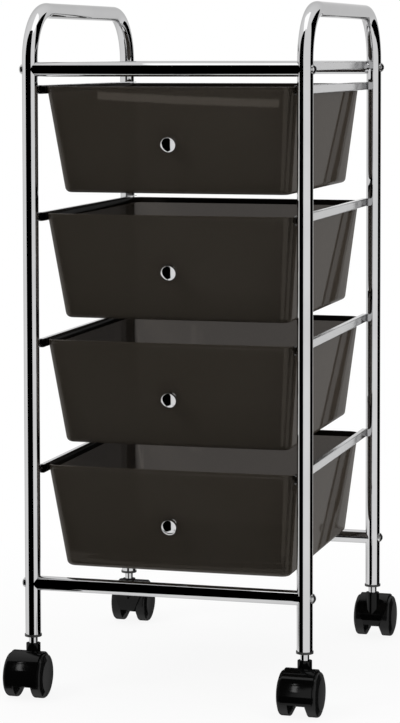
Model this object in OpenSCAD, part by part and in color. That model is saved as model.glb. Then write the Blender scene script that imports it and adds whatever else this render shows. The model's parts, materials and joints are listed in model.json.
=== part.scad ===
/* [Frame] */
// Spacing of the posts across the cart, centre to centre
frame_width = 312; // [270:1:380]
// Spacing of the posts from front to rear, centre to centre
frame_depth = 359; // [300:1:440]
// Outside diameter of the bent post tubes
post_d = 17.5; // [17:0.5:22]
// Wall of the post tubes
post_wall = 1.5; // [1:0.1:2]
// Outside diameter of the cross bars
bar_d = 16; // [12:0.5:16.5]
// Wall of the cross bars
bar_wall = 1.2; // [0.8:0.1:1.8]
// Centreline radius of the bends of the handle loops
handle_bend_r = 57; // [40:1:90]
// Height of the lower cross bars above the foot of the posts
bar_lift = 60.2; // [45:0.1:120]
// Height of the upper cross bars above the highest drawer rails
top_bar_gap = 22.3; // [18:0.1:60]
// Height of the top side rails above the upper cross bars' centre
top_rail_lift = 2.8; // [-3:0.1:6]

/* [Rails] */
// Height of the channel rails
rail_height = 9.6; // [9:0.1:14]
// Sheet thickness of the rails
rail_sheet = 1; // [0.8:0.1:1.4]
// Outside bend radius of the rail section
rail_bend_r = 1.6; // [1.5:0.1:2.5]
// Distance of the rail's outer face inboard of the post centre
rail_set = 7; // [5.5:0.1:7.5]
// Reach of the rail flanges inboard of the posts
rail_reach = 3.95; // [3:0.05:8]

/* [Drawers] */
// Height of a drawer from its floor to its rim
drawer_height = 118.5; // [80:0.5:150]
// Space between a drawer's floor and the rim of the drawer below
drawer_gap = 22.1; // [12:0.1:60]
// Space between the lowest drawer and the lower cross bars
floor_gap = 5.4; // [2:0.1:30]
// Lean of the drawer front, in degrees
front_lean = 12.9; // [4:0.1:15]
// Lean of the drawer back, in degrees
rear_lean = 8.2; // [2:0.1:15]
// Lean of the drawer sides, in degrees
side_lean = 6.3; // [2:0.1:9]
// Distance of the bowed front's rim behind the front posts' centre
front_recess = 7.4; // [2:0.1:30]
// Distance of the rim's rear edge in front of the rear posts' centre
rear_recess = 16; // [13:0.1:40]
// Wall of the drawers
drawer_wall = 2.4; // [1.8:0.1:3.5]
// Floor of the drawers
drawer_floor = 2.6; // [1.8:0.1:4]
// Corner radius of the drawer at its rim
corner_r = 13; // [9:0.5:20]
// Corner radius of the drawer at its floor
floor_corner_r = 11; // [8:0.5:16]
// Radius of the edge round the drawer's floor
edge_r = 5; // [4:0.5:7]
// Rise of the bow across the drawer front
front_bow = 1.6; // [0.8:0.1:3]
// Thickness of the side lips that ride in the rails
lip_wall = 1.9; // [1.4:0.1:2.2]

/* [Knobs] */
// Diameter of the knob's head
knob_d = 17.6; // [14:0.1:24]
// Projection of the knob from the drawer front
knob_reach = 17; // [13:0.1:26]
// Diameter of the knob's foot
knob_foot_d = 11; // [9:0.1:13]
// Diameter of the knob's neck
knob_neck_d = 8; // [7:0.1:10]
// Depth of the knobs' holes below the rail centre
knob_drop = 57.5; // [35:0.5:80]
// Diameter of the knob screws
knob_screw_d = 4; // [3:0.1:5]

/* [Frame screws] */
// Diameter of the screws that hold the cross bars
screw_d = 5; // [4:0.1:6]
// Diameter of the screw heads
screw_head_d = 11; // [9:0.1:12]
// Height of the screw heads above the post
screw_head_h = 3.6; // [3:0.1:5]
// Length of the threaded inserts in the bar ends
insert_len = 20; // [14:0.5:30]

/* [Casters] */
// Diameter of the caster wheels
wheel_d = 49; // [42:0.5:60]
// Distance from the middle of a caster to a wheel's full rim
wheel_rim_x = 22; // [20:0.1:26]
// Distance from the middle of a caster to the tread's inner edge
tread_in_x = 10; // [9:0.1:12]
// Thickness of the web between the two wheels of a caster
web_t = 11; // [11:0.1:12]
// Wall of the caster hood
hood_wall = 1.6; // [1.4:0.1:2.4]
// Half of the width of the caster hood
hood_half = 17.5; // [15:0.1:19]
// Offset of the wheels from the stem
caster_trail = 18; // [16.5:0.1:22]
// Diameter of the caster stem where it shows
stem_d = 10; // [9:0.1:11]
// Diameter of the stem's journal inside the hood
journal_d = 7; // [5:0.1:7.2]
// Diameter of the collar on the hood
collar_d = 16; // [15:0.1:18]
// Height of the collar above the crown of the hood
collar_rise = 5.1; // [3:0.1:12]
// Length of the stem that shows between collar and post
stem_show = 8; // [4:0.1:20]
// Diameter of the axle
axle_d = 5; // [4:0.1:6]
// Depth that the stem goes into its socket
stem_grip = 30; // [20:0.5:45]
// Overhang of the socket's flange round the foot of the post
socket_flange_lip = 0.85; // [0.5:0.05:2.5]
// Thickness of the socket's flange
socket_flange_t = 2.5; // [1.5:0.1:5]

/* [Hidden] */
$fn = 64;
hull_fn = 32;

drawer_count = 4;
left = -1;
right = 1;
front = -1;
rear = 1;

// Clearances
seat_gap = 0.05;      // round seats that are welded or pressed in reality
thread_gap = 0.03;    // screw in its thread
hole_gap = 0.2;       // screw through a plain hole
run_gap = 0.07;       // shafts that turn in a bore
slide_gap = 0.2;      // drawer lip above the rail's lower flange
lip_top_gap = 0.5;    // drawer lip below the rail's upper flange
lip_post_gap = 0.75;  // drawer lip beside the posts
mouth_gap = 1.1;      // drawer wall beside the rail's lower flange
wheel_gap = 0.8;      // wheels beside the web and under the hood
thrust_gap = 0.3;     // stem shoulder above its seat
stop_gap = 0.5;       // drawer lip in front of the rail's stop
bend_gap = 0.2;       // start of the handle's bend above what is fixed to the posts
eps = 0.01;

// Places of the posts
post_x = frame_width / 2;
post_y = frame_depth / 2;
post_r = post_d / 2;

// Casters
axle_z = wheel_d / 2;
wheel_r = wheel_d / 2;
hood_r = wheel_r + wheel_gap + hood_wall;
collar_top_z = axle_z + hood_r + collar_rise;
stem_seat_depth = 9;
stem_seat_z = collar_top_z - stem_seat_depth;
journal_lift = 2;
journal_end_z = axle_z + journal_lift;
foot_z = collar_top_z + stem_show;
tube_end_z = foot_z + socket_flange_t;
socket_end_wall = 3;
stem_chamfer = 1;
stem_groove_drop = 6;
stem_groove_w = 2;
stem_groove_depth = 0.6;
hood_lip_z = -7;
hood_narrow_x = 9;
hood_narrow_z = 14;
web_drop = 13.2;
web_arc_r = 46;
shoulder_r = 3;
wheel_face_r = 18;
wheel_in_x = web_t / 2 + wheel_gap;
wheel_flank_r = 16.5;
tread_edge_r = 1;
face_rise = 1.4;
face_crown = 0.5;
hub_r = 7;
wheel_face_t = 3.5;
wheel_web_x = wheel_rim_x - wheel_face_t;
wheel_skin = 2;
rib_t = 1.8;
rib_set = 1.5;
rib_count = 6;
axle_half = wheel_web_x;

// Heights
bottom_bar_z = foot_z + bar_lift;
rim_above_rail = rail_height / 2 - rail_sheet - lip_top_gap;
drawer_pitch = drawer_height + drawer_gap;
lowest_rail_z = bottom_bar_z + bar_d / 2 + floor_gap + drawer_height - rim_above_rail;
top_bar_z = rail_z(1) + top_bar_gap;
top_rail_z = top_bar_z + top_rail_lift;
bend_z = max(top_bar_z + bar_d / 2, top_rail_z + rail_height / 2) + bend_gap;
handle_z = bend_z + handle_bend_r;
function rail_z(n) = lowest_rail_z + (drawer_count - n) * drawer_pitch;

// Screwed joints of the frame
insert_set = 0.55;
screw_rim_h = 1;
screw_tip_set = 4;
screw_overlap = 1;
hex_d = 4.6;
hex_depth = 1.8;

// Rails
web_x = post_x - rail_set;
mouth_x = post_x - post_r - rail_reach;
rail_end_set = 2.5;
rail_half_len = post_y - rail_end_set;

// Drawers, in heights counted from the rail centre
rim_z = rim_above_rail;
floor_z = rim_z - drawer_height;
rim_y_front = -post_y + front_recess + front_bow;
rim_y_rear = post_y - rear_recess;
lip_x = post_x - post_r - lip_post_gap;
lip_low_z = -rail_height / 2 + rail_sheet + slide_gap;
rim_x = mouth_x - mouth_gap + (rim_z + rail_height / 2) * tan(side_lean);
lip_y_front = rim_y_front + corner_r;
lip_y_rear = rim_y_rear - corner_r;
stop_y = lip_y_rear + stop_gap;
knob_y = wall_y(front, -knob_drop, 0) - front_bow;
inner_edge_r = edge_r - drawer_wall;
lip_root = 0.3;
lip_chamfer = 0.6;
knob_dome_h = 2.8;
knob_edge_t = 5.2;
knob_flare_h = 2;
knob_foot_t = 2;
knob_hole_h = knob_reach - knob_dome_h - knob_edge_t + 2;
pan_d = knob_screw_d + 4;
pan_h = 2.4;
pan_r = 7;
pan_recess_d = 2.4;
pan_recess_depth = 1.2;
bow_half = wall_x(floor_z, 0) - floor_corner_r;
bow_stations = [for (i = [-4:4]) i / 5 * bow_half];
function wall_x(z, inset) = rim_x - (rim_z - z) * tan(side_lean) - inset / cos(side_lean);
function wall_y(end, z, inset) = end < 0
    ? rim_y_front + (rim_z - z) * tan(front_lean) + inset / cos(front_lean)
    : rim_y_rear - (rim_z - z) * tan(rear_lean) - inset / cos(rear_lean);

// Points of an arc about a centre, from one angle to another
function arc_points(centre, r, from, to, steps) =
    [for (i = [0:steps]) let (a = from + (to - from) * i / steps) centre + r * [cos(a), sin(a)]];

// Mirrors its children in X, or in Y, when the sign is negative
module flip_x(sign) { mirror([sign < 0 ? 1 : 0, 0, 0]) children(); }
module flip_y(sign) { mirror([0, sign < 0 ? 1 : 0, 0]) children(); }

// Turns +Z to run along +X
module along_x() { rotate([0, 90, 0]) children(); }

// Turns a drawing in the XY plane to stand in the YZ plane and be extruded along X
module across() { rotate([90, 0, 90]) children(); }

// Frame

// One rod bent to an inverted U in the YZ plane: two posts and the handle between them
module bent_rod(d, extra) {
    for (s = [front, rear]) {
        translate([0, s * post_y, tube_end_z - extra]) cylinder(d = d, h = bend_z - tube_end_z + extra);
        flip_y(s) translate([0, post_y - handle_bend_r, bend_z]) across()
            rotate_extrude(angle = 90) translate([handle_bend_r, 0]) circle(d = d);
    }
    translate([0, -post_y + handle_bend_r, handle_z]) rotate([-90, 0, 0])
        cylinder(d = d, h = 2 * (post_y - handle_bend_r));
}

module side_frame(side) {
    color("gainsboro") translate([side * post_x, 0, 0]) difference() {
        bent_rod(post_d, 0);
        bent_rod(post_d - 2 * post_wall, 1);
        for (s = [front, rear], z = [bottom_bar_z, top_bar_z]) translate([0, s * post_y, z])
            along_x() cylinder(d = screw_d + 2 * hole_gap, h = post_d + 2, center = true);
    }
}

// The posts as solid rods, to cut the seats of what is welded or screwed to them
module post_seats(low, high) {
    for (x = [left, right], y = [front, rear]) translate([x * post_x, y * post_y, low])
        cylinder(d = post_d + 2 * seat_gap, h = high - low);
}

module cross_bar(end, z) {
    color("gainsboro") difference() {
        translate([0, end * post_y, z]) along_x() difference() {
            cylinder(d = bar_d, h = frame_width, center = true);
            cylinder(d = bar_d - 2 * bar_wall, h = frame_width + 1, center = true);
        }
        post_seats(z - bar_d, z + bar_d);
    }
}

// Places its children at the eight screwed joints, with +Z pointing outwards from the post's centre
module at_joints() {
    for (x = [left, right], y = [front, rear], z = [bottom_bar_z, top_bar_z])
        translate([x * post_x, y * post_y, z]) rotate([0, x * 90, 0]) children();
}

module bar_inserts() {
    color("dimgray") at_joints() translate([0, 0, -post_r - insert_set - insert_len]) difference() {
        cylinder(d = bar_d - 2 * bar_wall - 2 * seat_gap, h = insert_len);
        translate([0, 0, -1]) cylinder(d = screw_d + 2 * thread_gap, h = insert_len + 2);
    }
}

// Radius of the sphere that domes a head of this diameter by this height
function dome_radius(d, h) = (d * d / 4 + h * h) / (2 * h);

// Domed head whose underside is saddled to the post, with a hexagon recess
module frame_screws() {
    dome_r = dome_radius(screw_head_d, screw_head_h - screw_rim_h);
    saddle = post_r - sqrt(pow(post_r, 2) - pow(screw_head_d / 2, 2)) + screw_rim_h;
    tip_z = -post_r - insert_set - insert_len + screw_tip_set;
    color("silver") at_joints() {
        difference() {
            translate([0, 0, post_r - saddle]) intersection() {
                cylinder(d = screw_head_d, h = saddle + screw_head_h);
                translate([0, 0, saddle + screw_head_h - dome_r]) sphere(r = dome_r);
            }
            rotate([0, 90, 0]) cylinder(d = post_d + 2 * seat_gap, h = screw_head_d + 2, center = true);
            translate([0, 0, post_r + screw_head_h - hex_depth])
                cylinder(d = hex_d, h = screw_head_h, $fn = 6);
        }
        translate([0, 0, tip_z]) cylinder(d = screw_d, h = post_r + screw_overlap - tip_z);
    }
}

// Rails

module round_rect(w, h, r) {
    translate([0, r - h / 2]) square([w, h - 2 * r]);
    translate([r, -h / 2]) square([w - 2 * r, h]);
    for (x = [r, w - r], y = [r - h / 2, h / 2 - r]) translate([x, y]) circle(r = r);
}

// Channel section open towards the drawer, drawn for the right side
module channel_section() {
    deep = web_x - mouth_x + 10;
    difference() {
        translate([web_x - deep, 0]) round_rect(deep, rail_height, rail_bend_r);
        translate([web_x - deep, 0])
            round_rect(deep - rail_sheet, rail_height - 2 * rail_sheet, rail_bend_r - rail_sheet);
        translate([web_x - deep - 1, -rail_height]) square([mouth_x - web_x + deep + 1, 2 * rail_height]);
    }
}

// Length of channel between the posts of a side, cut to fit them
module rail_channel(side, z) {
    difference() {
        flip_x(side) translate([0, 0, z]) rotate([90, 0, 0])
            linear_extrude(height = 2 * rail_half_len, center = true) channel_section();
        post_seats(z - rail_height, z + rail_height);
    }
}

// Rail that a drawer slides in, with a stop tab at its rear
module drawer_rail(side, n) {
    color("gainsboro") {
        rail_channel(side, rail_z(n));
        flip_x(side) translate([mouth_x, stop_y, rail_z(n) - rail_height / 2 + rail_sheet / 2])
            cube([web_x - mouth_x - rail_sheet / 2, rail_sheet, rail_height - rail_sheet]);
    }
}

// Empty rail at the height of the upper cross bars, also cut to fit those
module top_rail(side) {
    color("gainsboro") difference() {
        rail_channel(side, top_rail_z);
        for (end = [front, rear]) translate([0, end * post_y, top_bar_z]) along_x()
            cylinder(d = bar_d + 2 * seat_gap, h = frame_width, center = true);
    }
}

// Drawers

// Leaning tub with round corners: inset thins it towards its inside, low is its underside
module tub(inset, low, over, floor_edge_r) {
    top = rim_z + over;
    mid = low + floor_edge_r;
    top_r = corner_r - inset;
    ring = floor_corner_r - inset - floor_edge_r;
    hull() {
        for (x = [left, right], end = [front, rear]) {
            translate([x * (wall_x(top, inset) - top_r), wall_y(end, top, inset) - end * top_r, top])
                cylinder(r = top_r, h = eps, $fn = hull_fn);
            translate([x * (wall_x(mid, inset + floor_edge_r) - ring),
                wall_y(end, mid, inset + floor_edge_r) - end * ring, mid]) ring_disc(ring, floor_edge_r);
        }
        // the bow of the front, from corner to corner
        for (x = bow_stations, z = [top, mid])
            translate([x, wall_y(front, z, inset) - front_bow * (1 - pow(x / bow_half, 2)), z])
                cube([eps, eps, eps], center = true);
    }
}

module ring_disc(ring, r) {
    rotate_extrude($fn = hull_fn) intersection() {
        translate([ring, 0]) circle(r = r, $fn = 24);
        translate([0, -r]) square([ring + r, 2 * r]);
    }
}

// Lip with a turned-down edge that rides on the rail's lower flange, drawn for the right side
module lip_section() {
    root_x = rim_x - drawer_wall / 2 - lip_root;
    polygon([
        [root_x, rim_z], [lip_x - lip_chamfer, rim_z], [lip_x, rim_z - lip_chamfer],
        [lip_x, lip_low_z], [lip_x - lip_wall, lip_low_z],
        [lip_x - lip_wall, rim_z - lip_wall], [root_x, rim_z - lip_wall]
    ]);
}

// Places its children on the drawer front at the knob, with +Z along the face's outward normal
module at_knob(n) {
    translate([0, knob_y, rail_z(n) - knob_drop]) rotate([90 + front_lean, 0, 0]) children();
}

module drawer(n) {
    color([0.17, 0.16, 0.14, 0.85]) difference() {
        translate([0, 0, rail_z(n)]) {
            difference() {
                tub(0, floor_z, 0, edge_r);
                tub(drawer_wall, floor_z + drawer_floor, 1, inner_edge_r);
            }
            for (s = [left, right]) flip_x(s) translate([0, lip_y_rear, 0]) rotate([90, 0, 0])
                linear_extrude(height = lip_y_rear - lip_y_front) lip_section();
        }
        at_knob(n) cylinder(d = knob_screw_d + 2 * hole_gap, h = 4 * drawer_wall, center = true);
    }
}

// Turned knob: foot, neck and domed head
module knob(n) {
    head_z = knob_reach - knob_edge_t - knob_dome_h;
    dome_r = dome_radius(knob_d, knob_dome_h);
    color("silver") at_knob(n) difference() {
        union() {
            translate([0, 0, seat_gap]) cylinder(d = knob_foot_d, h = knob_foot_t);
            translate([0, 0, seat_gap]) cylinder(d = knob_neck_d, h = head_z);
            translate([0, 0, head_z - knob_flare_h])
                cylinder(d1 = knob_neck_d, d2 = knob_d, h = knob_flare_h);
            translate([0, 0, head_z]) intersection() {
                cylinder(d = knob_d, h = knob_edge_t + knob_dome_h);
                translate([0, 0, knob_edge_t + knob_dome_h - dome_r]) sphere(r = dome_r);
            }
        }
        cylinder(d = knob_screw_d + 2 * thread_gap, h = knob_hole_h);
    }
}

// Pan-head screw from the inside of the drawer front
module knob_screw(n) {
    color("silver") at_knob(n) translate([0, 0, -drawer_wall - seat_gap]) {
        difference() {
            translate([0, 0, -pan_h]) intersection() {
                cylinder(d = pan_d, h = pan_h);
                translate([0, 0, pan_r]) sphere(r = pan_r);
            }
            translate([0, 0, -pan_h - eps]) cylinder(d = pan_recess_d, h = pan_recess_depth, $fn = 6);
        }
        translate([0, 0, -eps]) cylinder(d = knob_screw_d, h = drawer_wall + knob_hole_h - knob_screw_d / 2);
    }
}

// Casters

// Places its children under a post; the wheels trail forwards at the front and backwards at the rear
module at_caster(side, end) {
    translate([side * post_x, end * post_y, 0]) flip_y(-end) children();
}

// Plug in the foot of the post, with the bore that the stem is held in
module socket(side, end) {
    plug_h = socket_flange_t + stem_grip + socket_end_wall;
    color("dimgray") at_caster(side, end) difference() {
        translate([0, 0, foot_z]) union() {
            cylinder(d = post_d + 2 * socket_flange_lip, h = socket_flange_t - seat_gap);
            cylinder(d = post_d - 2 * post_wall - 2 * seat_gap, h = plug_h);
        }
        translate([0, 0, foot_z - 1]) cylinder(d = stem_d + 2 * thread_gap, h = plug_h - socket_end_wall + 1);
    }
}

// Stepped stem: grip in the socket, plain length that shows, shoulder and journal in the hood
module stem(side, end) {
    low_z = stem_seat_z + thrust_gap;
    top_z = foot_z + stem_grip;
    color("silver") at_caster(side, end) {
        difference() {
            union() {
                translate([0, 0, low_z]) cylinder(d = stem_d, h = top_z - stem_chamfer - low_z);
                translate([0, 0, top_z - stem_chamfer])
                    cylinder(d1 = stem_d, d2 = stem_d - 2 * stem_chamfer, h = stem_chamfer);
            }
            translate([0, 0, top_z - stem_groove_drop]) difference() {
                cylinder(d = stem_d + 1, h = stem_groove_w);
                translate([0, 0, -1]) cylinder(d = stem_d - 2 * stem_groove_depth, h = stem_groove_w + 2);
            }
        }
        translate([0, 0, journal_end_z + thrust_gap])
            cylinder(d = journal_d, h = stem_seat_z - journal_end_z + 1);
    }
}

// Profile of the web between the wheels, about the axle, seen from the side
module web_profile() {
    intersection() {
        circle(r = hood_r);
        translate([0, web_arc_r - web_drop]) circle(r = web_arc_r);
    }
}

// Space that the hood covers: full width over the wheels, drawn in towards the stem
module fender_zone() {
    high = hood_r + 1;
    translate([-hood_half, -high, hood_lip_z]) cube([2 * hood_half, high, high - hood_lip_z]);
    translate([0, high, 0]) rotate([90, 0, 0]) linear_extrude(height = high) polygon([
        [-hood_half, high], [hood_half, high], [hood_half, hood_narrow_z],
        [hood_narrow_x, hood_lip_z], [-hood_narrow_x, hood_lip_z], [-hood_half, hood_narrow_z]
    ]);
}

module hood(side, end) {
    color("black") at_caster(side, end) difference() {
        union() {
            translate([0, -caster_trail, axle_z]) {
                intersection() {
                    along_x() difference() {
                        cylinder(r = hood_r, h = 2 * hood_half, center = true);
                        cylinder(r = hood_r - hood_wall, h = 2 * hood_half + 2, center = true);
                    }
                    fender_zone();
                }
                across() linear_extrude(height = web_t, center = true) web_profile();
            }
            difference() {
                translate([0, 0, journal_end_z]) cylinder(d = collar_d, h = collar_top_z - journal_end_z);
                translate([0, -caster_trail, axle_z]) for (s = [left, right]) flip_x(s)
                    translate([web_t / 2, 0, 0]) along_x() cylinder(r = hood_r - hood_wall, h = hood_half);
            }
        }
        translate([0, 0, stem_seat_z]) cylinder(d = stem_d + 2 * run_gap, h = collar_top_z);
        translate([0, 0, journal_end_z]) cylinder(d = journal_d + 2 * run_gap, h = stem_seat_z);
        translate([0, -caster_trail, axle_z]) along_x()
            cylinder(d = axle_d + 2 * thread_gap, h = web_t + 2, center = true);
    }
}

module axle(side, end) {
    color("silver") at_caster(side, end) translate([0, -caster_trail, axle_z]) along_x()
        cylinder(d = axle_d, h = 2 * axle_half, center = true);
}

// Half of a wheel's section: radius across, distance from the middle of the caster up
module wheel_section() {
    polygon(concat(
        [[0, wheel_in_x], [wheel_flank_r, wheel_in_x]],
        arc_points([wheel_r - tread_edge_r, tread_in_x + tread_edge_r], tread_edge_r, -60, 0, 4),
        arc_points([wheel_r - shoulder_r, wheel_rim_x - shoulder_r], shoulder_r, 0, 72, 6),
        [for (i = [0:5]) [wheel_face_r * (1 - i / 5),
            wheel_rim_x + face_rise + face_crown * (1 - pow(1 - i / 5, 2))]]
    ));
}

// Wheel with a closed, crowned face, open and ribbed towards the web
module wheel(side, end, hand) {
    color("black") at_caster(side, end) translate([0, -caster_trail, axle_z]) flip_x(hand)
        along_x() difference() {
            rotate_extrude() wheel_section();
            difference() {
                translate([0, 0, wheel_in_x - 1])
                    cylinder(r = wheel_flank_r - wheel_skin, h = wheel_web_x - wheel_in_x + 1);
                translate([0, 0, wheel_in_x - 2]) cylinder(r = hub_r, h = wheel_web_x);
                for (i = [0:rib_count - 1]) rotate([0, 0, i * 360 / rib_count])
                    translate([hub_r - 1, -rib_t / 2, wheel_in_x + rib_set])
                        cube([wheel_flank_r, rib_t, wheel_web_x]);
            }
            translate([0, 0, wheel_in_x - 1])
                cylinder(d = axle_d + 2 * run_gap, h = axle_half - wheel_in_x + 1 + thrust_gap);
        }
}

side_frame(left);  // left_side_frame
side_frame(right);  // right_side_frame
cross_bar(front, top_bar_z);  // top_front_bar
cross_bar(rear, top_bar_z);  // top_rear_bar
cross_bar(front, bottom_bar_z);  // bottom_front_bar
cross_bar(rear, bottom_bar_z);  // bottom_rear_bar
drawer_rail(left, 1);  // left_rail_1
drawer_rail(left, 2);  // left_rail_2
drawer_rail(left, 3);  // left_rail_3
drawer_rail(left, 4);  // left_rail_4
drawer_rail(right, 1);  // right_rail_1
drawer_rail(right, 2);  // right_rail_2
drawer_rail(right, 3);  // right_rail_3
drawer_rail(right, 4);  // right_rail_4
top_rail(left);  // left_top_rail
top_rail(right);  // right_top_rail
bar_inserts();
frame_screws();
drawer(1);  // drawer_1
drawer(2);  // drawer_2
drawer(3);  // drawer_3
drawer(4);  // drawer_4
knob(1);  // knob_1
knob(2);  // knob_2
knob(3);  // knob_3
knob(4);  // knob_4
knob_screw(1);  // knob_screw_1
knob_screw(2);  // knob_screw_2
knob_screw(3);  // knob_screw_3
knob_screw(4);  // knob_screw_4
socket(left, front);  // front_left_socket
socket(right, front);  // front_right_socket
socket(left, rear);  // rear_left_socket
socket(right, rear);  // rear_right_socket
stem(left, front);  // front_left_stem
stem(right, front);  // front_right_stem
stem(left, rear);  // rear_left_stem
stem(right, rear);  // rear_right_stem
hood(left, front);  // front_left_hood
hood(right, front);  // front_right_hood
hood(left, rear);  // rear_left_hood
hood(right, rear);  // rear_right_hood
axle(left, front);  // front_left_axle
axle(right, front);  // front_right_axle
axle(left, rear);  // rear_left_axle
axle(right, rear);  // rear_right_axle
wheel(left, front, left);  // front_left_wheel_a
wheel(right, front, left);  // front_right_wheel_a
wheel(left, rear, left);  // rear_left_wheel_a
wheel(right, rear, left);  // rear_right_wheel_a
wheel(left, front, right);  // front_left_wheel_b
wheel(right, front, right);  // front_right_wheel_b
wheel(left, rear, right);  // rear_left_wheel_b
wheel(right, rear, right);  // rear_right_wheel_b
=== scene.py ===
import json
import math
import bpy
import bmesh
from mathutils import Matrix, Vector


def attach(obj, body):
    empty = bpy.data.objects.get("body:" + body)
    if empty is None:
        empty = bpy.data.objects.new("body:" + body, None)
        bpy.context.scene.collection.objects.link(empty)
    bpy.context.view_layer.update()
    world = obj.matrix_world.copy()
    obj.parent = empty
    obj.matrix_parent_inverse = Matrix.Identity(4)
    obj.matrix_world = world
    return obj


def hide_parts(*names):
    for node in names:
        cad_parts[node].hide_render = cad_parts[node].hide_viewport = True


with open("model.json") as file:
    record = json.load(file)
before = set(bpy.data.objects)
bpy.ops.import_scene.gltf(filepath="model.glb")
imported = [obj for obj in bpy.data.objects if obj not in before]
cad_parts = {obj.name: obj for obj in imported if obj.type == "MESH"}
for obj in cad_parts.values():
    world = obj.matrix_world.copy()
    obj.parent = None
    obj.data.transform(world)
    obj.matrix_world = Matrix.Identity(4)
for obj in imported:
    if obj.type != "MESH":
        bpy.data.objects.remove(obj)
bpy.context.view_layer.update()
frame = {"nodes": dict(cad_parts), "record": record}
nodes = frame["nodes"]
MM = 0.001


def tan(degrees):
    return math.tan(math.radians(degrees))


def cos_sin(degrees):
    return math.cos(math.radians(degrees)), math.sin(math.radians(degrees))


# Driving sizes of the cart in mm and leans in degrees, as in the part's source
POST_X, POST_Y, POST_R = 156.0, 179.5, 8.75
RAIL_HEIGHT, RAIL_SHEET, RAIL_REACH = 9.6, 1.0, 3.95
LOWEST_RAIL_Z, DRAWERS = 253.3, 4
DRAWER_HEIGHT, DRAWER_GAP = 118.5, 22.1
FRONT_RECESS, REAR_RECESS, BOW = 7.4, 16.0, 1.6
LEAN_FRONT, LEAN_REAR, LEAN_SIDE = 12.9, 8.2, 6.3
WALL, FLOOR_T, LIP_WALL = 2.4, 2.6, 1.9
CORNER_R, FLOOR_CORNER_R, EDGE_R = 13.0, 11.0, 5.0
SLIDE_GAP, LIP_TOP_GAP, LIP_POST_GAP, MOUTH_GAP, LIP_ROOT = 0.2, 0.5, 0.75, 1.1, 0.3

# Places that follow from them; heights in a drawer count from its rails
RAIL_Z = {n: LOWEST_RAIL_Z + (DRAWERS - n) * (DRAWER_HEIGHT + DRAWER_GAP) for n in range(1, DRAWERS + 1)}
RIM_Z = RAIL_HEIGHT / 2 - RAIL_SHEET - LIP_TOP_GAP
FLOOR_Z = RIM_Z - DRAWER_HEIGHT
RIM_X = POST_X - POST_R - RAIL_REACH - MOUTH_GAP + (RIM_Z + RAIL_HEIGHT / 2) * tan(LEAN_SIDE)
RIM_FRONT, RIM_REAR = -POST_Y + FRONT_RECESS + BOW, POST_Y - REAR_RECESS
LIP_X, LIP_ROOT_X = POST_X - POST_R - LIP_POST_GAP, RIM_X - WALL / 2 - LIP_ROOT
LIP_LOW = -RAIL_HEIGHT / 2 + RAIL_SHEET + SLIDE_GAP

# Fine shapes of the drawers in mm; BEAD_SIDE has depths below the rim and how far the bead stands out there
RIM_ROUND, BEAD = 1.2, 0.8
BEAD_SIDE = ((4.6, 0.0), (3.9, 0.35), (3.3, BEAD), (RIM_ROUND, BEAD))
RIM_BAND = 6.5
WALL_TOP, INNER_TOP, WALL_GUARD = 5.0, 2.0, 0.5
FLAT_INSET, LEAST_R = 40, 0.6
LIP_ROUND, LIP_CHAMFER, LIP_INSIDE, LIP_SHRINK = 0.9, 0.4, 0.8, 0.35

# Faces of the drawers: steps of a corner, the front, a side and a wall, and the angles of the floor's edge
CORNER_STEPS, FRONT_STEPS, SIDE_STEPS, WALL_STEPS = 10, 14, 6, 8
EDGE_ANGLES = (90, 75, 60, 45, 30, 15, 0)

# The knob in mm: how far it sits below the rails, and its turned outline by radius and height
KNOB_DROP, KNOB_SEAT = 57.5, 0.1
BASE_R, BASE_TOP = 5.5, 2.0
NECK_R, NECK_LOW, NECK_TOP = 4.0, 2.3, 6.6
FLARE_R, FLARE_TOP = 8.3, 8.9
HEAD_R, HEAD_LOW, HEAD_TOP = 8.8, 9.6, 13.9
FACE_R, FACE_LOW, FACE_CROWN, FACE_STEPS = 8.2, 14.6, 2.4, 12


# Materials

# The span of most noise values, the depth of bumps in metres, and the stretch of hairlines along each axis
NOISE_LOW, NOISE_HIGH = 0.3, 0.7
FINE_DEPTH, WAVE_DEPTH = 0.0001, 0.001
ALONG_X, ALONG_Y, ALONG_Z = (0.02, 1, 1), (1, 0.02, 1), (1, 1, 0.02)


def new_material(name):
    mat = bpy.data.materials.new(name)
    mat.use_nodes = True
    mat.node_tree.nodes.clear()
    return mat, mat.node_tree


def set_surface(nt, shader):
    out = nt.nodes.new("ShaderNodeOutputMaterial")
    nt.links.new(shader, out.inputs["Surface"])


def coords(nt, scale=(1, 1, 1)):
    tc = nt.nodes.new("ShaderNodeTexCoord")
    mp = nt.nodes.new("ShaderNodeMapping")
    mp.inputs["Scale"].default_value = scale
    nt.links.new(tc.outputs["Object"], mp.inputs["Vector"])
    return mp.outputs["Vector"]


def noise(nt, vec, scale, detail):
    n = nt.nodes.new("ShaderNodeTexNoise")
    n.inputs["Scale"].default_value = scale
    n.inputs["Detail"].default_value = detail
    nt.links.new(vec, n.inputs["Vector"])
    return n.outputs["Fac"]


def remap(nt, value, lo, hi, from_lo=NOISE_LOW, from_hi=NOISE_HIGH):
    m = nt.nodes.new("ShaderNodeMapRange")
    m.inputs["From Min"].default_value = from_lo
    m.inputs["From Max"].default_value = from_hi
    m.inputs["To Min"].default_value = lo
    m.inputs["To Max"].default_value = hi
    nt.links.new(value, m.inputs["Value"])
    return m.outputs["Result"]


def drifting(nt, value, dark, light):
    """A colour that drifts between two tones with the given noise."""
    r = nt.nodes.new("ShaderNodeValToRGB")
    first, last = r.color_ramp.elements
    first.position, first.color = NOISE_LOW, (*dark, 1)
    last.position, last.color = NOISE_HIGH, (*light, 1)
    nt.links.new(value, r.inputs["Fac"])
    return r.outputs["Color"]


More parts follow.
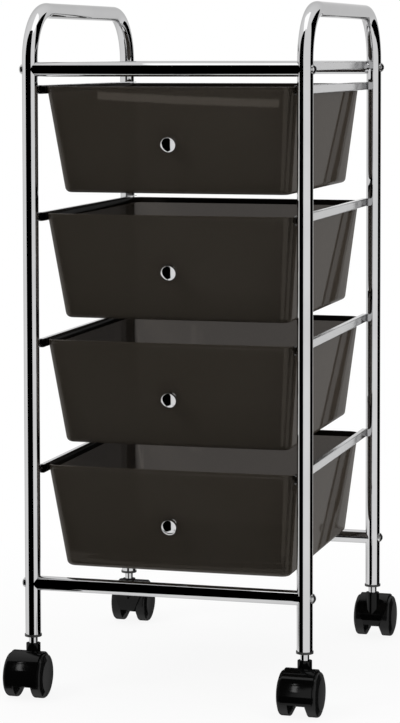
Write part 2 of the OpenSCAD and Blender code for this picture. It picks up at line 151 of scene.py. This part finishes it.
def bump(nt, height, bsdf, strength, distance, normal=None):
    b = nt.nodes.new("ShaderNodeBump")
    b.inputs["Strength"].default_value = strength
    b.inputs["Distance"].default_value = distance
    nt.links.new(height, b.inputs["Height"])
    if normal is not None:
        nt.links.new(normal, b.inputs["Normal"])
    nt.links.new(b.outputs["Normal"], bsdf.inputs["Normal"])
    return b.outputs["Normal"]


def mixed(nt, share, first, second):
    """The first shader, with the given share of the second in its place."""
    mix = nt.nodes.new("ShaderNodeMixShader")
    nt.links.new(share, mix.inputs["Fac"])
    nt.links.new(first, mix.inputs[1])
    nt.links.new(second, mix.inputs[2])
    return mix.outputs["Shader"]


def chrome(name, light, dark, rough, stretch=(1, 1, 1), wave=0.0, edge=0.8):
    """Bright plating: a faint haze that varies and hairlines along the part; edge tones down flat angles."""
    haze_scale, line_scale, wave_scale = 14, 900, 9
    line_strength, rough_spread = 0.008, 2.2
    mat, nt = new_material(name)
    bsdf = nt.nodes.new("ShaderNodeBsdfPrincipled")
    bsdf.inputs["Metallic"].default_value = 1.0
    bsdf.inputs["Specular Tint"].default_value = (edge, edge, edge, 1)
    vec = coords(nt)
    haze = noise(nt, vec, haze_scale, detail=4)
    nt.links.new(drifting(nt, haze, dark, light), bsdf.inputs["Base Color"])
    nt.links.new(remap(nt, haze, rough, rough * rough_spread), bsdf.inputs["Roughness"])
    lines = noise(nt, coords(nt, stretch), line_scale, detail=2)
    normal = bump(nt, lines, bsdf, line_strength, FINE_DEPTH)
    if wave:
        bump(nt, noise(nt, vec, wave_scale, detail=2), bsdf, wave, WAVE_DEPTH, normal)
    set_surface(nt, bsdf.outputs["BSDF"])
    return mat


def moulded(name, dark, light, rough_lo, rough_hi, grain, wave=0.0, spec=0.5, dull=0.0, clear=None,
            tint=(1, 1, 1), haze=None):
    """Injection-moulded plastic: slight colour drift, uneven gloss, soft waviness and a fine skin.

    dull is the share of the gloss that is lost where the surface is seen at a flat angle; haze, where given,
    is the colour that such a view shows in its place: a lighter colour there is a painted sheen.
    clear is the share of light that goes straight through the surface, seen square on and at a flat angle.
    """
    drift_scale, gloss_scale, grain_scale, wave_scale = 7, 22, 1400, 11
    dull_span, clear_span = (0.35, 0.72), (0.1, 0.75)
    sheen_drift, smoke = 0.92, (1.0, 0.96, 0.93, 1)
    mat, nt = new_material(name)
    bsdf = nt.nodes.new("ShaderNodeBsdfPrincipled")
    vec = coords(nt)
    drift = noise(nt, vec, drift_scale, detail=3)
    colour = drifting(nt, drift, dark, light)
    nt.links.new(colour, bsdf.inputs["Base Color"])
    gloss = noise(nt, vec, gloss_scale, detail=4)
    nt.links.new(remap(nt, gloss, rough_lo, rough_hi), bsdf.inputs["Roughness"])
    bsdf.inputs["Specular IOR Level"].default_value = spec
    bsdf.inputs["Specular Tint"].default_value = (*tint, 1)
    normal = bump(nt, noise(nt, vec, grain_scale, detail=2), bsdf, grain, FINE_DEPTH)
    if wave:
        bump(nt, noise(nt, vec, wave_scale, detail=2), bsdf, wave, WAVE_DEPTH, normal)
    skin = bsdf.outputs["BSDF"]
    if dull:
        # Given haze, the matt share shows that lighter colour at flat angles: a painted sheen
        if haze:
            colour = drifting(nt, drift, tuple(c * sheen_drift for c in haze), haze)
        matt = nt.nodes.new("ShaderNodeBsdfDiffuse")
        nt.links.new(colour, matt.inputs["Color"])
        facing = nt.nodes.new("ShaderNodeLayerWeight")
        facing.inputs["Blend"].default_value = 0.5
        flat = facing.outputs["Facing"]
        skin = mixed(nt, remap(nt, flat, 0, dull, *dull_span), skin, matt.outputs["BSDF"])
        if clear:
            through = nt.nodes.new("ShaderNodeBsdfTransparent")
            through.inputs["Color"].default_value = smoke
            skin = mixed(nt, remap(nt, flat, *clear, *clear_span), skin, through.outputs["BSDF"])
    set_surface(nt, skin)
    return mat


TUBE_LIGHT, TUBE_DARK = (0.62, 0.62, 0.625), (0.57, 0.57, 0.575)
M_TUBE = chrome("plated_tube", TUBE_LIGHT, TUBE_DARK, 0.015, ALONG_Z, wave=0.0015, edge=0.66)
M_BAR = chrome("plated_bar", TUBE_LIGHT, TUBE_DARK, 0.015, ALONG_X, wave=0.0015, edge=0.66)
M_RAIL = chrome("plated_sheet", (0.56, 0.56, 0.565), (0.51, 0.51, 0.515), 0.09, ALONG_Y, wave=0.004)
M_SCREW = chrome("plated_screw", (0.62, 0.62, 0.62), (0.54, 0.54, 0.54), 0.14)
M_KNOB = chrome("plated_knob", (0.66, 0.66, 0.665), (0.6, 0.6, 0.605), 0.03)
M_STEM = chrome("plated_stem", (0.6, 0.6, 0.605), (0.52, 0.52, 0.525), 0.06)
M_ZINC = chrome("zinc_screw", (0.5, 0.5, 0.48), (0.4, 0.4, 0.38), 0.22)
M_AXLE = chrome("steel_rod", (0.48, 0.48, 0.48), (0.4, 0.4, 0.4), 0.25, ALONG_X)
# The smoked tray's haze is lighter and browner than its plastic and shows at flat angles: painted sheen
M_TRAY = moulded("smoked_tray", (0.032, 0.0275, 0.0215), (0.036, 0.0315, 0.0255), 0.02, 0.04, grain=0.03,
                 wave=0.01, spec=0.24, dull=0.74, clear=(0.23, 0.1), tint=(1, 0.9, 0.78),
                 haze=(0.06, 0.049, 0.039))
# Far darker than the tray's own plastic: painted shade on the rim and lips where they run in the rails
M_RIM_SHADE = moulded("tray_rim_painted_shade", (0.006, 0.005, 0.004), (0.008, 0.0065, 0.0055), 0.1, 0.2, grain=0.03,
                wave=0.01, spec=0.06, dull=0.9)
M_HOOD = moulded("caster_hood", (0.0012, 0.0012, 0.0012), (0.002, 0.002, 0.002), 0.07, 0.12, grain=0.01,
                 wave=0.02, spec=0.17, dull=0.9)
M_WHEEL = moulded("caster_wheel", (0.004, 0.004, 0.004), (0.006, 0.006, 0.006), 0.12, 0.2, grain=0.06,
                  wave=0.03, spec=0.2, dull=0.9)
M_PLUG = moulded("socket_plug", (0.02, 0.02, 0.02), (0.03, 0.03, 0.03), 0.35, 0.5, grain=0.15)
M_INSERT = moulded("bar_insert", (0.02, 0.02, 0.02), (0.03, 0.03, 0.03), 0.4, 0.55, grain=0.15)


# Mesh helpers

def mesh_object(name, bm, mat, smooth_angle):
    bmesh.ops.recalc_face_normals(bm, faces=bm.faces)
    me = bpy.data.meshes.new(name)
    bm.to_mesh(me)
    bm.free()
    ob = bpy.data.objects.new(name, me)
    bpy.context.scene.collection.objects.link(ob)
    me.materials.append(mat)
    me.shade_smooth()
    me.set_sharp_from_angle(angle=math.radians(smooth_angle))
    return ob


def add_rings(bm, rings):
    """Skins a list of equal closed rings of points, in mm, and caps both ends."""
    rows = [[bm.verts.new((x * MM, y * MM, z * MM)) for x, y, z in ring] for ring in rings]
    count = len(rows[0])
    for a, b in zip(rows, rows[1:]):
        for i in range(count):
            j = (i + 1) % count
            bm.faces.new((a[i], a[j], b[j], b[i]))
    bm.faces.new(list(reversed(rows[0])))
    bm.faces.new(rows[-1])


def lathe(bm, profile, matrix, segments):
    """Turns a profile of (radius, height) about +Z; its ends at radius 0 close to a point."""
    rows = []
    for r, h in profile:
        turns = [2 * math.pi * i / segments for i in range(segments if r > 0 else 1)]
        spots = [Vector((r * math.cos(a), r * math.sin(a), h)) for a in turns]
        rows.append([bm.verts.new(matrix @ spot * MM) for spot in spots])
    for a, b in zip(rows, rows[1:]):
        for i in range(segments):
            j = (i + 1) % segments
            if len(a) == 1:
                bm.faces.new((a[0], b[j], b[i]))
            elif len(b) == 1:
                bm.faces.new((a[i], a[j], b[0]))
            else:
                bm.faces.new((a[i], a[j], b[j], b[i]))


def fillet(corners, steps=5):
    """Rounds an open profile of (x, y, radius) corners; its two ends stay as they are."""
    longest_share = 0.49
    spots = [Vector((x, y)) for x, y, _ in corners]
    out = [corners[0][:2]]
    for before, spot, after, (_, _, r) in zip(spots, spots[1:], spots[2:], corners[1:]):
        u, v = before - spot, after - spot
        room = longest_share * min(u.length, v.length)
        u.normalize()
        v.normalize()
        cut = min(r / math.tan(math.acos(u.dot(v)) / 2), room)
        a, b = spot + u * cut, spot + v * cut
        for i in range(steps + 1):
            t = i / steps
            out.append(tuple((1 - t) ** 2 * a + 2 * t * (1 - t) * spot + t * t * b))
    out.append(corners[-1][:2])
    return out


# Drawers

def corner_turn(x, y, z, r, bead, start):
    """A quarter turn about (x, y) from the start angle; the bead stands out to the front and rear only."""
    points = []
    for i in range(CORNER_STEPS):
        c, s = cos_sin(start + 90 * i / CORNER_STEPS)
        points.append((x + r * c, y + (r + bead * abs(s)) * s, z))
    return points


def tray_ring(z, inset, bead=0.0):
    """One level of the tray: front with its bow, then right side, rear and left side, in mm."""
    depth = RIM_Z - z
    share = min(max(depth / (RIM_Z - FLOOR_Z), 0), 1)
    r = max(CORNER_R * (1 - share) + FLOOR_CORNER_R * share - inset, LEAST_R)
    x = RIM_X - depth * tan(LEAN_SIDE) - inset
    front = RIM_FRONT + depth * tan(LEAN_FRONT) + inset
    rear = RIM_REAR - depth * tan(LEAN_REAR) - inset
    half, low, high = x - r, front + r, rear - r
    across = [-1 + 2 * i / FRONT_STEPS for i in range(FRONT_STEPS)]
    along = [(high - low) * i / SIDE_STEPS for i in range(SIDE_STEPS)]
    points = [(t * half, front - BOW * (1 - t * t) - bead, z) for t in across]
    points += corner_turn(half, low, z, r, bead, -90)
    points += [(x, low + step, z) for step in along]
    points += corner_turn(half, high, z, r, bead, 0)
    points += [(-t * half, rear + bead, z) for t in across]
    points += corner_turn(-half, high, z, r, bead, 90)
    points += [(-x, high - step, z) for step in along]
    points += corner_turn(-half, low, z, r, bead, 180)
    return points


def tray_levels():
    """Rings from the middle of the underside up the outside, over the rim and down to the inner floor.

    A ring close to each end of the outer wall keeps the wall's shading flat.
    """
    rings = [tray_ring(FLOOR_Z, EDGE_R + FLAT_INSET)]
    for a in EDGE_ANGLES:
        c, s = cos_sin(a)
        rings.append(tray_ring(FLOOR_Z + EDGE_R * (1 - s), EDGE_R * (1 - c)))
    low, high = FLOOR_Z + EDGE_R, RIM_Z - WALL_TOP
    rings.append(tray_ring(low + WALL_GUARD, 0))
    rings += [tray_ring(low + (high - low) * i / WALL_STEPS, 0) for i in range(1, WALL_STEPS + 1)]
    rings += [tray_ring(RIM_Z - depth, 0, bead) for depth, bead in BEAD_SIDE]
    for a in (30, 60, 90):
        c, s = cos_sin(a)
        rings.append(tray_ring(RIM_Z - RIM_ROUND * (1 - s), RIM_ROUND * (1 - c), BEAD * c))
    for a in (60, 30, 0):
        c, s = cos_sin(a)
        rings.append(tray_ring(RIM_Z - RIM_ROUND * (1 - s), WALL - RIM_ROUND * (1 - c)))
    rings.append(tray_ring(RIM_Z - RIM_BAND, WALL))
    inner_r, inner_floor = EDGE_R - WALL, FLOOR_Z + FLOOR_T
    low, high = inner_floor + inner_r, RIM_Z - INNER_TOP
    rings += [tray_ring(low + (high - low) * i / WALL_STEPS, WALL) for i in reversed(range(WALL_STEPS))]
    for a in reversed(EDGE_ANGLES[:-1]):
        c, s = cos_sin(a)
        rings.append(tray_ring(inner_floor + inner_r * (1 - s), WALL + inner_r * (1 - c)))
    rings.append(tray_ring(inner_floor, WALL + inner_r + FLAT_INSET))
    return rings


def lip_section():
    """The right side's lip with its turned-down edge, as (x, z) points."""
    inner_x, under_z = LIP_X - LIP_WALL, RIM_Z - LIP_WALL
    section = [(LIP_ROOT_X, RIM_Z)]
    for a in (90, 60, 30, 0):
        c, s = cos_sin(a)
        section.append((LIP_X - LIP_ROUND * (1 - c), RIM_Z - LIP_ROUND * (1 - s)))
    section += [(LIP_X, LIP_LOW + LIP_CHAMFER), (LIP_X - LIP_CHAMFER, LIP_LOW),
                (inner_x + LIP_CHAMFER, LIP_LOW), (inner_x, LIP_LOW + LIP_CHAMFER),
                (inner_x, under_z - LIP_INSIDE), (inner_x - LIP_INSIDE, under_z), (LIP_ROOT_X, under_z)]
    return section


def lip_rings(side, z0):
    """Sections along the lip of one side, in mm; they shrink at its two ends, except inside the wall."""
    low, high = RIM_FRONT + CORNER_R, RIM_REAR - CORNER_R
    rings = []
    for y, shrink in ((low, LIP_SHRINK), (low + LIP_CHAMFER, 0), (high - LIP_CHAMFER, 0), (high, LIP_SHRINK)):
        ring = []
        for x, z in lip_section():
            inset = 0 if x == LIP_ROOT_X else shrink
            ring.append((side * (x - inset), y, z + z0 - math.copysign(inset, z)))
        rings.append(ring)
    return rings


def in_rim_shade(face, z0):
    """True for the lips, and for the top of the rim and its inner side except along the front: the faces that
    take the painted shade.
    """
    below_band, beside_rim, front_strip = 0.5, 0.2, 8
    middle_y, least_inward, least_upward = (RIM_FRONT + RIM_REAR) / 2, 20, 0.3
    c, normal = face.center / MM, face.normal
    if c.z - z0 < RIM_Z - RIM_BAND - below_band and abs(c.x) < RIM_X:
        return False
    inward = -(c.x * normal.x + (c.y - middle_y) * normal.y) > least_inward
    on_top = inward or normal.z > least_upward
    return abs(c.x) > RIM_X + beside_rim or (c.y > RIM_FRONT + front_strip and on_top)


def tray(n):
    z0 = RAIL_Z[n]
    bm = bmesh.new()
    add_rings(bm, [[(x, y, z + z0) for x, y, z in ring] for ring in tray_levels()])
    for side in (-1, 1):
        add_rings(bm, lip_rings(side, z0))
    ob = mesh_object(f"tray_{n}_shell", bm, M_TRAY, smooth_angle=40)
    # The lips, the rim's top and its inner side, except along the front, take the darker painted shade
    ob.data.materials.append(M_RIM_SHADE)
    for face in ob.data.polygons:
        face.material_index = int(in_rim_shade(face, z0))
    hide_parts(f"drawer_{n}")
    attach(ob, f"tray_{n}")
    return ob


# Knobs

def knob_matrix(n):
    """From the knob's own axes, with +Z along its outline's height, to its place on the leaning front."""
    z = RAIL_Z[n] - KNOB_DROP
    y = RIM_FRONT + (RIM_Z + KNOB_DROP) * tan(LEAN_FRONT) - BOW
    return Matrix.Translation((0, y, z)) @ Matrix.Rotation(math.radians(90 + LEAN_FRONT), 4, "X")


def knob_outline():
    """Points of (radius, height) from the middle of the seat to the middle of the crowned face."""
    outline = fillet([(0, KNOB_SEAT, 0), (BASE_R, KNOB_SEAT, 0.3), (BASE_R, BASE_TOP, 0.6),
                      (NECK_R, NECK_LOW, 0.8), (NECK_R, NECK_TOP, 2.0), (FLARE_R, FLARE_TOP, 0.5),
                      (HEAD_R, HEAD_LOW, 0.6), (HEAD_R, HEAD_TOP, 0.7), (FACE_R, FACE_LOW, 0)])
    crown_r = (FACE_R ** 2 + FACE_CROWN ** 2) / (2 * FACE_CROWN)
    crown_top = FACE_LOW + FACE_CROWN
    for i in range(1, FACE_STEPS):
        a = math.asin(FACE_R / crown_r) * (1 - i / FACE_STEPS)
        outline.append((crown_r * math.sin(a), crown_top - crown_r * (1 - math.cos(a))))
    outline.append((0, crown_top))
    return outline


def knob(n):
    bm = bmesh.new()
    lathe(bm, knob_outline(), knob_matrix(n), segments=96)
    ob = mesh_object(f"knob_{n}_turned", bm, M_KNOB, smooth_angle=50)
    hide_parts(f"knob_{n}")
    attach(ob, f"tray_{n}")


trays = {}
for n in RAIL_Z:
    trays[n] = tray(n)
    knob(n)


# Finishes of the CAD pieces

FINISH = {
    "chrome_tube": M_TUBE, "chrome_rail": M_RAIL, "chrome_screw": M_SCREW, "chrome_knob": M_KNOB,
    "chrome_stem": M_STEM, "zinc_screw": M_ZINC, "steel_axle": M_AXLE, "drawer_plastic": M_TRAY,
    "caster_plastic": M_HOOD, "caster_wheel": M_WHEEL, "socket_plastic": M_PLUG, "insert_plastic": M_INSERT,
}
SLOT = {s["node"]: s["material_slot"] for s in frame["record"]["subparts"]}
BEVELLED = ("_hood", "_wheel_a", "_wheel_b")
BEVEL_WIDTH, BEVEL_ANGLE = 0.4, 40
for name, ob in nodes.items():
    mat = M_BAR if name.endswith("_bar") else FINISH[SLOT[name]]
    ob.data.materials.clear()
    ob.data.materials.append(mat)
    if name.endswith(BEVELLED):
        bevel = ob.modifiers.new("edges", "BEVEL")
        bevel.width = BEVEL_WIDTH * MM
        bevel.segments = 2
        bevel.limit_method = "ANGLE"
        bevel.angle_limit = math.radians(BEVEL_ANGLE)
        bevel.harden_normals = True


# Studio surfaces, with places in mm as for the cart

# The floor's white share grows from near to far between two distances from the cart's middle, in metres
FLOOR_HALF, FLOOR_TOP, FLOOR_GREY = 9000, -0.3, 0.86
WHITE_NEAR, WHITE_FAR = 0.9, 1.0
FADE_FROM, FADE_TO = 0.3, 0.8
WORLD_LIGHT, WORLD_SEEN = 0.6, 1.0
OVERHEAD_Z, OVERHEAD_GLOW = 1160, 1.7


def stage_plane(name, corners, mat):
    bm = bmesh.new()
    bm.faces.new([bm.verts.new(Vector(c) * MM) for c in corners])
    me = bpy.data.meshes.new(name)
    bm.to_mesh(me)
    bm.free()
    ob = bpy.data.objects.new(name, me)
    bpy.context.scene.collection.objects.link(ob)
    me.materials.append(mat)
    return ob


def level_plane(name, x_low, x_high, y_low, y_high, z, mat):
    corners = [(x_low, y_low, z), (x_high, y_low, z), (x_high, y_high, z), (x_low, y_high, z)]
    return stage_plane(name, corners, mat)


def seen_directly(nt):
    """1 for camera, glossy and transmission rays, and 0 for the rays that light the cart."""
    path = nt.nodes.new("ShaderNodeLightPath")
    value = path.outputs["Is Camera Ray"]
    for ray in ("Is Glossy Ray", "Is Transmission Ray"):
        either = nt.nodes.new("ShaderNodeMath")
        either.operation = "MAXIMUM"
        nt.links.new(value, either.inputs[0])
        nt.links.new(path.outputs[ray], either.inputs[1])
        value = either.outputs[0]
    return value


def floor_material():
    """Pale matt floor that keeps the shadow and fades to plain white away from the cart."""
    mat, nt = new_material("pale_floor")
    diffuse = nt.nodes.new("ShaderNodeBsdfDiffuse")
    diffuse.inputs["Color"].default_value = (FLOOR_GREY, FLOOR_GREY, FLOOR_GREY, 1)
    white = nt.nodes.new("ShaderNodeEmission")
    white.inputs["Strength"].default_value = 1.0
    geo = nt.nodes.new("ShaderNodeNewGeometry")
    length = nt.nodes.new("ShaderNodeVectorMath")
    length.operation = "LENGTH"
    nt.links.new(geo.outputs["Position"], length.inputs[0])
    fade = remap(nt, length.outputs["Value"], WHITE_NEAR, WHITE_FAR, FADE_FROM, FADE_TO)
    share = nt.nodes.new("ShaderNodeMath")
    share.operation = "MULTIPLY"
    nt.links.new(seen_directly(nt), share.inputs[0])
    nt.links.new(fade, share.inputs[1])
    set_surface(nt, mixed(nt, share.outputs[0], diffuse.outputs[0], white.outputs[0]))
    return mat


def glow(name, strength):
    mat, nt = new_material(name)
    light = nt.nodes.new("ShaderNodeEmission")
    light.inputs["Strength"].default_value = strength
    set_surface(nt, light.outputs[0])
    return mat


def black(name):
    mat, nt = new_material(name)
    bsdf = nt.nodes.new("ShaderNodeBsdfPrincipled")
    bsdf.inputs["Base Color"].default_value = (0, 0, 0, 1)
    bsdf.inputs["Roughness"].default_value = 1.0
    bsdf.inputs["Specular IOR Level"].default_value = 0.0
    set_surface(nt, bsdf.outputs["BSDF"])
    return mat


def show_in_reflections_only(ob):
    ob.visible_camera = False
    ob.visible_diffuse = False
    ob.visible_shadow = False
    ob.visible_transmission = False


def flag(name, a, b, low, high_a, high_b):
    """A black studio flag that only reflections show, from plan point a to b; its top may slope."""
    ob = stage_plane(name, [(*a, low), (*b, low), (*b, high_b), (*a, high_a)], black(name))
    show_in_reflections_only(ob)


floor = level_plane("floor", -FLOOR_HALF, FLOOR_HALF, -FLOOR_HALF, FLOOR_HALF, FLOOR_TOP, floor_material())
floor.visible_glossy = False
overhead = level_plane("overhead", -165, 175, -390, -40, OVERHEAD_Z, glow("overhead_glow", OVERHEAD_GLOW))
show_in_reflections_only(overhead)
flag("flag_left", a=(-264, -283), b=(76, -539), low=-190, high_a=918, high_b=1466)
flag("flag_right", a=(3536, -175), b=(1408, 2649), low=-4400, high_a=5200, high_b=1600)
flag("flag_low", a=(106, -300), b=(170, -300), low=-32, high_a=22, high_b=22)

world = bpy.data.worlds.new("studio")
bpy.context.scene.world = world
world.use_nodes = True
wt = world.node_tree
wt.nodes.clear()
world_out = wt.nodes.new("ShaderNodeOutputWorld")
background = wt.nodes.new("ShaderNodeBackground")
background.inputs["Color"].default_value = (1, 1, 1, 1)
wt.links.new(remap(wt, seen_directly(wt), WORLD_LIGHT, WORLD_SEEN, 0, 1), background.inputs["Strength"])
wt.links.new(background.outputs[0], world_out.inputs["Surface"])


# Lamps, with places and sizes in metres

def softbox(name, place, aim, wide, high, power):
    data = bpy.data.lights.new(name, "AREA")
    data.shape = "RECTANGLE"
    data.size, data.size_y = wide, high
    data.energy = power
    ob = bpy.data.objects.new(name, data)
    bpy.context.scene.collection.objects.link(ob)
    ob.location = place
    ob.rotation_euler = (Vector(aim) - Vector(place)).to_track_quat("-Z", "Y").to_euler()
    ob.visible_glossy = False
    return ob


softbox("key", place=(-1.6, -1.9, 2.3), aim=(0, 0, 0.35), wide=1.2, high=1.2, power=26)
softbox("fill", place=(2.2, -1.6, 1.6), aim=(0, 0, 0.35), wide=1.4, high=1.4, power=14)
softbox("top", place=(0.1, 0.3, 2.6), aim=(0, 0, 0.3), wide=1.8, high=1.8, power=16)


def receivers(name, pieces):
    """The pieces that a linked lamp reaches."""
    group = bpy.data.collections.new(name)
    for ob in pieces:
        group.objects.link(ob)
    return group


def glint(name, middle, across, back, wide, high, strength, group):
    """A small lamp that one group of pieces mirrors.

    across is the direction of its width, and back looks away from the pieces.
    """
    lamp = softbox(name, middle, middle - back, wide, high, math.pi * strength * wide * high)
    lamp.rotation_euler = Matrix((across, back.cross(across), back)).transposed().to_euler()
    lamp.visible_glossy = True
    lamp.visible_diffuse = False
    lamp.light_linking.receiver_collection = group


# Each front hood shows a small lit window of two panes.
# A pane has its lowest and highest edge along the window, its width and how far it sits to the right.
hoods = receivers("hoods", [ob for name, ob in nodes.items() if name.endswith("_hood")])
ACROSS = Vector((1, 0, 0))
PANE_GLOW = 6.5
PANES = (("low", -0.024, 0.024, 0.0055, 0.0), ("high", 0.03, 0.045, 0.0025, -0.002))
WINDOWS = (("left", (-0.1839, -0.2705, 0.0913), (-0.1585, -0.219, 0.040)),
           ("right", (0.1353, -0.2914, 0.0798), (0.1545, -0.219, 0.040)))
for side, window_at, hood_at in WINDOWS:
    centre = Vector(window_at)
    along = (centre - Vector(hood_at)).cross(ACROSS).normalized()
    back = ACROSS.cross(along)
    for part, low, high, wide, to_right in PANES:
        middle = centre + along * (low + high) / 2 + ACROSS * to_right
        glint(f"window_{side}_{part}", middle, ACROSS, back, wide, high - low, PANE_GLOW, hoods)

# The top drawer's front shows a soft band of light below its rim
BAND_AT = Vector((-0.0235, -0.3325, 0.5803))
BAND_WIDE, BAND_HIGH, BAND_GLOW = 0.2345, 0.0092, 1.8
band_across = Vector((0.9632, -0.22, -0.1542)).normalized()
band_back = Vector((-0.2661, -0.8599, -0.4356))
band_back = (band_back - band_across * band_back.dot(band_across)).normalized()
top_tray = receivers("top_tray", [trays[1]])
glint("band", BAND_AT, band_across, band_back, BAND_WIDE, BAND_HIGH, BAND_GLOW, top_tray)


# Camera

YAW, PITCH, ROLL = (math.radians(a) for a in (-15.733, -3.729, -0.108))
CAMERA_AT = Vector((0.7766, -2.7988, 0.7147))
FOCAL_PX, PHOTO_HIGH_PX, SHIFT_Y = 2510.4, 723, -0.2
SENSOR, FARTHEST = 36, 100
ahead = Vector((math.sin(YAW) * math.cos(PITCH), math.cos(YAW) * math.cos(PITCH), math.sin(PITCH)))
level_right = Vector((math.cos(YAW), -math.sin(YAW), 0))
level_up = level_right.cross(ahead)
right = level_right * math.cos(ROLL) + level_up * math.sin(ROLL)
up = level_up * math.cos(ROLL) - level_right * math.sin(ROLL)
placed = Matrix((right, up, -ahead)).transposed().to_4x4()
placed.translation = CAMERA_AT
cam_data = bpy.data.cameras.new("camera")
cam_data.sensor_width = SENSOR
cam_data.lens = FOCAL_PX / PHOTO_HIGH_PX * SENSOR
cam_data.shift_y = SHIFT_Y
cam_data.clip_end = FARTHEST
cam = bpy.data.objects.new("camera", cam_data)
bpy.context.scene.collection.objects.link(cam)
cam.matrix_world = placed
bpy.context.scene.camera = cam
bpy.context.scene.view_settings.view_transform = "Standard"

bpy.context.view_layer.update()
